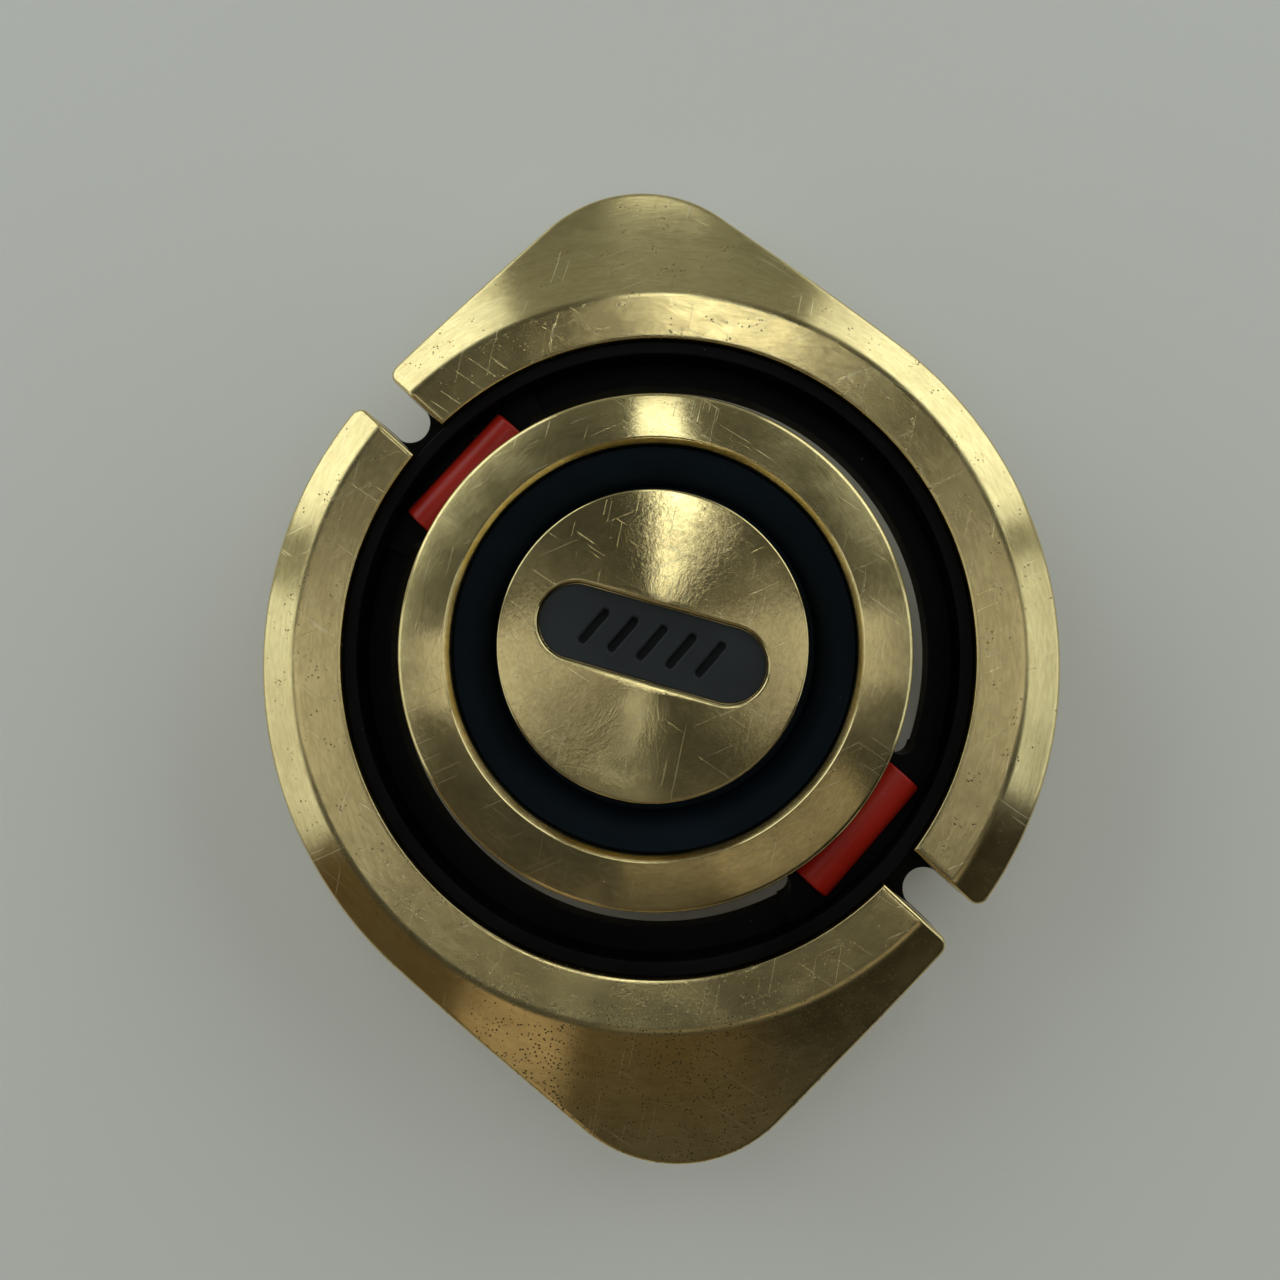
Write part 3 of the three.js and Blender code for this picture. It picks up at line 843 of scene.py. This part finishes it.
def makeFrame():
    look = frameLook
    half = look["plateHalf"]
    edge = look["edge"]
    hubHalf = ringSpan["low"] - middle
    bore = raceSpan["outer"] + 0.05
    rimHigh = innerEdge - look["rimDrop"]
    plain = look["plateInset"]
    body = makePlate("spinnerFrame", lemonOutline(plain), -half, half, lemonOutline(plain + edge), edge)
    rim = makeLathe("rimBlank", softCorners([
        (look["rimInner"], -rimHigh, edge), (look["rimOuter"], -rimHigh, edge),
        (look["rimOuter"], rimHigh, edge), (look["rimInner"], rimHigh, edge),
    ]))
    flange = look["flangeRadius"]
    web = look["slotInner"]
    under = hubHalf - look["flangeThickness"]
    hub = makeLathe("hubBlank", softCorners([
        (bore - 1, -hubHalf, 0), (flange, -hubHalf, edge), (flange, -under, edge), (web, -under, 0),
        (web, under, 0), (flange, under, edge), (flange, hubHalf, edge), (bore - 1, hubHalf, 0),
    ]))
    spokes = []
    for turn in (wingLook["gapAngle"], wingLook["gapAngle"] + 180):
        wide = look["spokeHalfAngle"] + 4
        outline = arcPoints(0, 0, look["rimInner"] + 0.3, turn - wide, turn + wide, 40)
        outline += arcPoints(0, 0, web - 1, turn + wide, turn - wide, 40)
        spokes.append(makePlate("spokeBlank", outline, -look["spokeHalf"], look["spokeHalf"]))
    combine(body, [rim, *spokes], "UNION")
    cutters = []
    for turn in (wingLook["gapAngle"], wingLook["gapAngle"] + 180):
        outline = slotOutline(turn + look["spokeHalfAngle"], turn + 180 - look["spokeHalfAngle"])
        cutters.append(makePlate("slotCutter", outline, -5, 5))
    combine(body, cutters, "DIFFERENCE")
    combine(body, [hub], "UNION")
    cutters = [makePlate("boreCutter", arcPoints(0, 0, bore, 0, 358.5, 239), -8, 8)]
    rodLow, rodHigh = [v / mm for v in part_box("front_rod_a")]
    rodCentre = (rodLow + rodHigh) / 2
    rodHalf = (rodHigh.z - rodLow.z) / 2 + look["pocketClear"]
    floor = rodLow.z - middle - look["pocketClear"]
    along = rodLook["length"] / 2 + look["pocketClear"]
    radius = math.hypot(rodCentre.x, rodCentre.y)
    for turn in (wingLook["gapAngle"], wingLook["gapAngle"] + 180):
        cutters.append(makePlate("notchCutter", turnedPlan(notchOutline(), turn), -6, 6))
        near, far = radius - rodHalf, radius + rodHalf
        box = [(near, -along), (far, -along), (far, along), (near, along)]
        for low, high in ((floor, hubHalf + 0.01), (-hubHalf - 0.01, -floor)):
            cutters.append(makePlate("pocketCutter", turnedPlan(box, turn), low, high))
    for x, y in screwPlaces():
        hole = arcPoints(x, y, screwLook["shank"] / 2 + screwLook["shankClear"], 0, 345, 23)
        cutters.append(makePlate("holeCutter", hole, -3, 3))
    combine(body, cutters, "DIFFERENCE")
    finishPiece(body, "blackCoat", "rotor", "black_coat", "spinner_frame")


# hub rings and dishes

buttonLook = {
    "stem": 3.125,  # radius of the stem that fills the bearing bore
    "shoulder": 3.925,
    "seat": 2.581,  # height of the shoulder above the middle plane
    "bands": 14,
    "thickness": 1.85,
    "edge": 0.14,
    "pocket": (11.3, 3.7, 0.65),  # length, width and depth
    "pocketEdge": 0.14,
    "angle": -19,
    "sides": 320,
}
ringLook = {"slope": 0.45, "edge": 0.26, "round": 0.24, "lip": 0.3}
dishLook = {
    "floorRadius": 7.9,
    "underGap": 0.3,  # between the dish's floor and the underside of the button
    "edge": 0.08,
    "land": 0.2,
    "steps": 14,
}


def makeHubRing(name, side, node):
    inner = ringSpan["inner"]
    outer = ringSpan["outer"]
    low = ringSpan["low"] - middle
    top = ringSpan["high"] - middle
    edge = ringLook["edge"]
    lip = ringLook["lip"]
    profile = softCorners([
        (inner, low, 0.05), (outer - edge, low, 0.05), (outer, low + edge, 0.08),
        (outer, top - ringLook["slope"], ringLook["round"]),
        (inner + lip, top, 0.03), (inner + lip * 0.8, top - 0.05, 0.02),
        (inner + lip * 0.7, top - 0.02, 0.02), (inner, top - lip, 0.05),
    ])
    ring = makeLathe(name, profile, side=side)
    finishPiece(ring, "ringBrass", "rotor", "brass", node)


def makeDish(name, side, node):
    outer = dishSpan["outer"]
    inner = dishSpan["inner"]
    low = dishSpan["low"] - middle
    rim = dishSpan["high"] - middle
    seat = ringSpan["low"] - middle
    nose = raceSpan["outer"]
    edge = dishLook["edge"]
    under = buttonSpan["high"] - middle - buttonLook["thickness"] - dishLook["underGap"]
    floorRadius = dishLook["floorRadius"]
    lip = outer - dishLook["land"]
    profile = [
        (inner, low), (nose, low), (nose, seat), (outer, seat),
        (outer, rim - 1.5 * edge), (outer - edge, rim),
    ]
    for k in range(1, dishLook["steps"] + 1):
        a = k / dishLook["steps"] * math.pi / 2
        r = floorRadius + (lip - floorRadius) * (1 - math.sin(a))
        profile.append((r, rim - (rim - under) * (1 - math.cos(a))))
    profile.append((inner, under))
    dish = makeLathe(name, profile, side=side)
    finishPiece(dish, "dishCoat", "rotor", "dark_dish", node)


for sideName, side in (("front", 1), ("rear", -1)):
    makeHubRing(f"{sideName}HubRing", side, f"{sideName}_hub_ring")
    makeDish(f"{sideName}Dish", side, f"{sideName}_lock_ring")
print("hub rings and dishes made")


# buttons and their inlays

inlayLook = {
    "thickness": 0.45,
    "clear": 0.05,
    "edge": 0.08,
    "grooves": 5,
    "pitch": 1.45,
    "grooveWidth": 0.42,
    "grooveLength": 2.1,
    "grooveDepth": 0.18,
    "slant": 25,
}


def stadiumRadius(angle, halfStraight, halfWidth):
    c = abs(math.cos(angle))
    s = abs(math.sin(angle))
    if s > 1e-9 and halfWidth * c / s <= halfStraight:
        return halfWidth / s
    return halfStraight * c + math.sqrt(max(halfWidth ** 2 - (halfStraight * s) ** 2, 0.0))


def stadiumLoop(length, wide, grow, z, sides):
    turn = math.radians(buttonLook["angle"])
    halfStraight = (length - wide) / 2
    points = []
    for k in range(sides):
        a = tau * k / sides
        r = stadiumRadius(a - turn, halfStraight, wide / 2 + grow)
        points.append((r * math.cos(a), r * math.sin(a), z))
    return points


def makeButton(name, side, node):
    top = buttonSpan["high"] - middle
    outer = buttonSpan["outer"]
    under = top - buttonLook["thickness"]
    edge = buttonLook["edge"]
    length, wide, depth = buttonLook["pocket"]
    sides = buttonLook["sides"]
    stem = buttonLook["stem"]
    shoulder = buttonLook["shoulder"]
    seat = buttonLook["seat"]
    profile = softCorners([
        (stem, buttonSpan["low"] - middle, 0), (stem, seat, 0), (shoulder, seat, 0),
        (shoulder, under, 0.1), (outer, under, 0.1), (outer, top, edge), (outer - 1.0, top, 0),
    ], closed=False)
    loops = [circleLoop(r, z, sides) for r, z in profile]
    chamfer = buttonLook["pocketEdge"]
    rim = stadiumLoop(length, wide, chamfer, top, sides)
    wall = loops[-1]
    bands = buttonLook["bands"]
    for k in range(1, bands):
        t = k / bands
        loops.append([tuple(a + (b - a) * t for a, b in zip(p, q)) for p, q in zip(wall, rim)])
    for k in range(6):
        a = k / 5 * math.pi / 2
        grow = chamfer * (1 - math.sin(a))
        loops.append(stadiumLoop(length, wide, grow, top - chamfer * (1 - math.cos(a)), sides))
    loops.append(stadiumLoop(length, wide, 0, top - depth, sides))
    points = [(x, y, z * side) for loop in loops for x, y, z in loop]
    button = makeObject(name, points, stackFaces(len(loops), sides, False), 30)
    finishPiece(button, "buttonBrass", "grip", "brass", node)


def grooveDrop(x, y):
    look = inlayLook
    slant = math.radians(90 - look["slant"])
    c = math.cos(slant)
    s = math.sin(slant)
    half = (look["grooveLength"] - look["grooveWidth"]) / 2
    best = 9.0
    for i in range(look["grooves"]):
        dx = x - (i - (look["grooves"] - 1) / 2) * look["pitch"]
        along = dx * c + y * s
        across = -dx * s + y * c
        past = max(abs(along) - half, 0.0)
        best = min(best, math.hypot(past, across) - look["grooveWidth"] / 2)
    t = min(max((0.05 - best) / 0.14, 0.0), 1.0)
    return look["grooveDepth"] * t * t * (3 - 2 * t)


def makeInlay(name, side, node):
    look = inlayLook
    length, wide, depth = buttonLook["pocket"]
    length -= 2 * look["clear"]
    wide -= 2 * look["clear"]
    low = buttonSpan["high"] - middle - depth
    top = low + look["thickness"]
    radius = wide / 2
    straight = (length - wide) / 2
    turn = math.radians(buttonLook["angle"])
    stations = [straight + radius * math.sin(math.pi / 2 * k / 26) for k in range(1, 27)]
    body = [straight * k / 88 for k in range(-88, 89)]
    xs = [-v for v in reversed(stations)] + body + stations
    across = 64
    points = []
    for x in xs:
        past = max(abs(x) - straight, 0.0)
        half = math.sqrt(max(radius ** 2 - past ** 2, 0.0))
        for k in range(across + 1):
            y = -half * math.cos(math.pi * k / across)
            gap = radius - math.hypot(past, y)
            z = top - grooveDrop(x, y) - edgeDrop(gap, look["edge"])
            points.append((x, y, z))
    row = across + 1
    faces = []
    for i in range(len(xs) - 1):
        for k in range(across):
            a = i * row + k
            faces.append((a, a + row, a + row + 1, a + 1))
    rim = [i * row for i in range(len(xs))]
    rim += [(len(xs) - 1 - i) * row + across for i in range(len(xs))]
    base = len(points)
    for index in rim:
        x, y, _ = points[index]
        points.append((x, y, low))
    size = len(rim)
    for k in range(size):
        n = (k + 1) % size
        faces.append((rim[k], base + k, base + n, rim[n]))
    faces.append(tuple(base + k for k in range(size)))
    c = math.cos(turn)
    s = math.sin(turn)
    turned = [(x * c - y * s, x * s + y * c, z * side) for x, y, z in points]
    inlay = makeObject(name, turned, faces, 50)
    finishPiece(inlay, "inlayBlack", "grip", "black_inlay", node)
    # painted shade: the groove floors and lower slopes take the darker black, as shade painted into the
    # grooves
    inlay.data.materials.append(finishes["paintedGrooveShade"])
    for face in inlay.data.polygons:
        height = (face.center.z / mm - middle) * side
        if low + 0.05 < height < top - look["grooveDepth"] * 0.45 and abs(face.normal.z) > 0.3:
            face.material_index = 1


for sideName, side in (("front", 1), ("rear", -1)):
    makeButton(f"{sideName}Button", side, f"{sideName}_button")
    makeInlay(f"{sideName}Inlay", side, f"{sideName}_inlay")
print("buttons made")


# red rods

def makeRods():
    for sideName, side in (("front", 1), ("rear", -1)):
        for letter in "ab":
            node = f"{sideName}_rod_{letter}"
            low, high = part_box(node)
            centre = (low + high) / 2 / mm
            radius = (high.z - low.z) / 2 / mm
            half = rodLook["length"] / 2
            profile = softCorners([
                (0.0005, -half, 0), (radius, -half, rodLook["edge"]),
                (radius, half, rodLook["edge"]), (0.0005, half, 0),
            ], closed=False)
            turn = math.atan2(centre.y, centre.x)
            points = []
            for x, y, z in latheLoops(profile, 64):
                along = Vector((x, z, y))
                along.rotate(Euler((0, 0, turn)))
                points.append((along.x + centre.x, along.y + centre.y, along.z + centre.z - middle))
            faces = stackFaces(len(profile), 64, False)
            rod = makeObject(f"{sideName}Rod{letter.upper()}", points, faces, 50)
            finishPiece(rod, "rodRed", "rotor", "red_rod", node)


makeRods()
makeFrame()
print("rods and frame made")


# pieces carried over from the frame

hiddenFinish = {
    "axle_stud": "groundSteel",
    "front_washer": "groundSteel",
    "rear_washer": "groundSteel",
    "front_shield": "groundSteel",
    "rear_shield": "groundSteel",
    "bearing_inner_race": "groundSteel",
    "bearing_outer_race": "groundSteel",
    "ball_cage": "cageBrass",
}
for node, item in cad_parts.items():
    finish = "ballSteel" if node.startswith("bearing_ball") else hiddenFinish.get(node)
    if finish:
        item.data.materials.clear()
        item.data.materials.append(finishes[finish])


# floor and lights

floorLook = {"size": 3.0, "height": -0.00002, "color": (0.88, 0.88, 0.83), "roughness": 0.6}
# each panel: degrees round from X, degrees down from overhead, metres away, width and height, glow, tint
lightPlan = {
    "nearStrip": (90, 12.5, 0.5, (0.019, 0.085), 7.5, (0.95, 1.0, 0.96)),
    "topStrip": (90, 33, 0.5, (0.055, 0.17), 2.2, (0.92, 1.0, 0.98)),
    "leftPanel": (180, 22, 0.5, (0.09, 0.28), 0.60, (1.0, 1.0, 0.95)),
    "rightPanel": (0, 18, 0.5, (0.09, 0.28), 0.58, (1.0, 1.0, 0.95)),
    "upperLeftPanel": (135, 67, 0.5, (0.36, 0.26), 1.35, (0.88, 0.97, 1.0)),
    "upperRightPanel": (42, 67, 0.5, (0.36, 0.26), 1.4, (0.88, 0.97, 1.0)),
    "lowLeftPanel": (185, 68, 0.5, (0.30, 0.24), 0.9, (0.86, 0.96, 1.0)),
    "lowRightPanel": (-6, 68, 0.5, (0.30, 0.24), 1.0, (0.86, 0.96, 1.0)),
    "warmPanel": (243, 58, 0.5, (0.12, 0.14), 0.36, (1.0, 0.82, 0.60)),
    "lowerPanel": (268, 27, 0.5, (0.12, 0.09), 0.24, (1.0, 0.86, 0.64)),
    "lowerRightPanel": (-58, 31, 0.5, (0.20, 0.14), 0.27, (1.0, 0.88, 0.66)),
}
# an overhead panel that mirrors don't see, so it brightens the floor and the black parts only
fillPanel = (0, 0, 0.7, (0.9, 0.9), 0.22, (1.0, 1.0, 0.98))
roomLook = {
    "far": (0.24, 0.26, 0.235),  # towards +Y, near the horizon
    "near": (0.090, 0.066, 0.034),
    "nearRight": (0.014, 0.012, 0.008),
    "above": (0.042, 0.045, 0.042),
    "band": (1.8, 1.95, 1.85),  # a narrow bright band round the far side, part way up
}


def makeFloor():
    half = floorLook["size"] / 2
    mesh = bpy.data.meshes.new("floor")
    corners = ((-half, -half), (half, -half), (half, half), (-half, half))
    mesh.from_pydata([(x, y, floorLook["height"]) for x, y in corners], [], [(0, 1, 2, 3)])
    floor = bpy.data.objects.new("floor", mesh)
    bpy.context.scene.collection.objects.link(floor)
    material, tree, shader, where = newMaterial("floorPaint", Roughness=floorLook["roughness"])
    tone = noiseNode(tree, where, 30.0, 4.0)
    darker = tuple(v * 0.97 for v in floorLook["color"])
    tree.links.new(mixColor(tree, tone, floorLook["color"], darker), shader.inputs["Base Color"])
    mesh.materials.append(material)


def makePanel(name, around, down, away, size, glow, tint):
    data = bpy.data.lights.new(name, "AREA")
    data.shape = "RECTANGLE"
    data.size, data.size_y = size
    data.energy = glow * math.pi * size[0] * size[1]
    data.color = tint
    lamp = bpy.data.objects.new(name, data)
    bpy.context.scene.collection.objects.link(lamp)
    a = math.radians(around)
    d = math.radians(down)
    place = Vector((math.sin(d) * math.cos(a), math.sin(d) * math.sin(a), math.cos(d))) * away
    lamp.location = place
    across = Vector((-math.sin(a), math.cos(a), 0))
    up = place.normalized().cross(across)
    lamp.rotation_euler = Matrix((across, up, place.normalized())).transposed().to_euler()
    return lamp


def makeRoom():
    world = bpy.data.worlds.new("room")
    bpy.context.scene.world = world
    world.use_nodes = True
    tree = world.node_tree
    split = addNode(tree, "ShaderNodeSeparateXYZ")
    tree.links.new(addNode(tree, "ShaderNodeTexCoord").outputs["Generated"], split.inputs[0])
    side = mapRange(tree, split.outputs["Y"], -0.35, 0.45)
    dim = mapRange(tree, split.outputs["X"], 0.05, 0.22)
    near = mixColor(tree, dim, roomLook["near"], roomLook["nearRight"])
    level = mixColor(tree, side, near, roomLook["far"])
    height = mapRange(tree, split.outputs["Z"], 0.45, 0.85)
    color = mixColor(tree, height, level, roomLook["above"])
    rising = mapRange(tree, split.outputs["Z"], 0.60, 0.64)
    falling = mapRange(tree, split.outputs["Z"], 0.70, 0.66)
    beside = mapRange(tree, mathNode(tree, "ABSOLUTE", split.outputs["X"]), 0.3, 0.55)
    band = mathNode(tree, "MULTIPLY", mathNode(tree, "MULTIPLY", rising, falling), beside)
    band = mathNode(tree, "MULTIPLY", band, side)
    color = mixColor(tree, band, color, roomLook["band"])
    tree.links.new(color, tree.nodes["Background"].inputs["Color"])


makeFloor()
for panelName, panel in lightPlan.items():
    makePanel(panelName, *panel)
softFill = makePanel("softFill", *fillPanel)
softFill.visible_glossy = False
makeRoom()
bpy.context.scene.view_settings.view_transform = "Standard"
print("floor and lights made")
